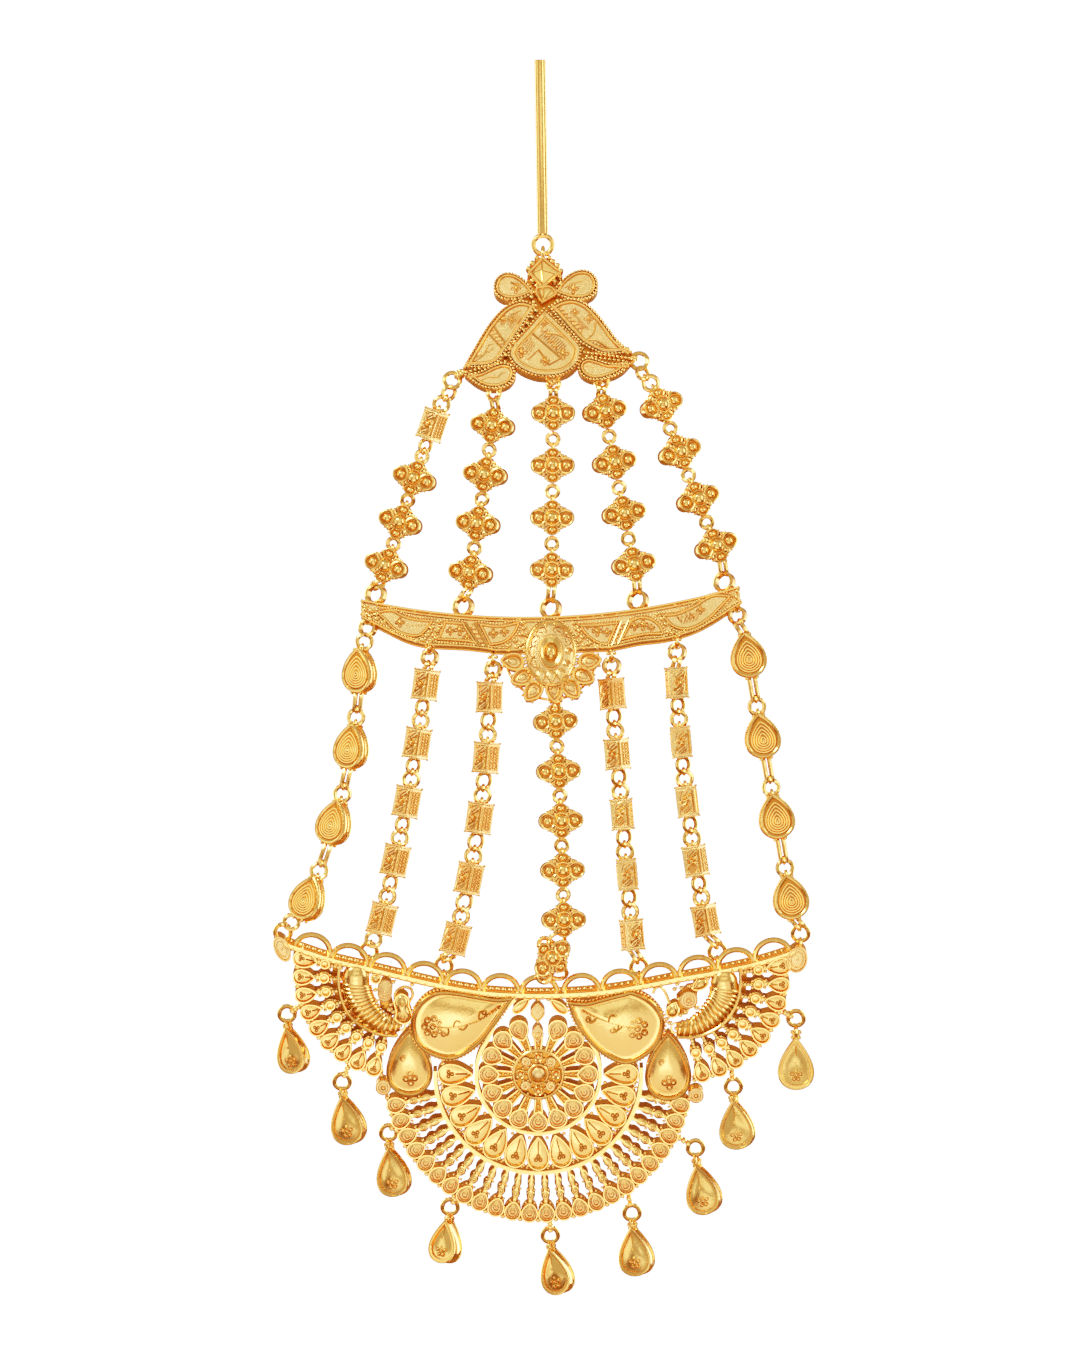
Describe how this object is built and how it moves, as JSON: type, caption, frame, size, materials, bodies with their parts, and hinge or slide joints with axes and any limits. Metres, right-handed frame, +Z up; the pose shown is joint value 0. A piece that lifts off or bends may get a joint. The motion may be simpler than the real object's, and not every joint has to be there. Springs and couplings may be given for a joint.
{
  "type": "chhapka side hair ornament",
  "caption": "Gold side hair ornament: a stem, a crown plate, strands of beads to a crescent bar, more strands to a pierced fan, and teardrop pendants below.",
  "frame": {"origin": "middle of the stem's flat top end, where the ornament is pinned in the hair", "axes": "+Z up, +X to the right of a viewer facing the ornament, front towards -Y"},
  "size_m": [0.0801, 0.0166, 0.1795],
  "materials": {
    "polished_gold": "polished 22 carat yellow gold",
    "satin_gold": "satin 22 carat yellow gold with stamped and granulated detail"
  },
  "bodies": {
    "stem": {"hair_stem": "polished_gold"},
    "pendant": {"crown_plate": "satin_gold", "upper_strand_1": "polished_gold", "upper_strand_2": "polished_gold", "upper_strand_3": "polished_gold", "upper_strand_4": "polished_gold", "upper_strand_5": "polished_gold", "crescent_bar": "satin_gold", "lower_strand_1_bead_1": "polished_gold", "lower_strand_1_bead_2": "polished_gold", "lower_strand_1_bead_3": "polished_gold", "lower_strand_1_bead_4": "polished_gold", "lower_strand_1_ring_1": "polished_gold", "lower_strand_1_ring_2": "polished_gold", "lower_strand_1_ring_3": "polished_gold", "lower_strand_2": "polished_gold", "lower_strand_3": "polished_gold", "lower_strand_4": "polished_gold", "lower_strand_5": "polished_gold", "lower_strand_6": "polished_gold", "lower_strand_7_bead_1": "polished_gold", "lower_strand_7_bead_2": "polished_gold", "lower_strand_7_bead_3": "polished_gold", "lower_strand_7_bead_4": "polished_gold", "lower_strand_7_ring_1": "polished_gold", "lower_strand_7_ring_2": "polished_gold", "lower_strand_7_ring_3": "polished_gold", "fan_plate": "satin_gold", "pendant_1": "polished_gold", "pendant_2": "polished_gold", "pendant_3": "polished_gold", "pendant_4": "polished_gold", "pendant_5": "polished_gold", "pendant_6": "polished_gold", "pendant_7": "polished_gold", "pendant_8": "polished_gold", "pendant_9": "polished_gold"}
  },
  "joints": [
    {"name": "pendant_swing", "type": "hinge", "parent": "stem", "child": "pendant", "pos_m": [0.00042, 0, -0.02682], "axis": [0, 1, 0], "range_deg": [-90, 90]}
  ]
}
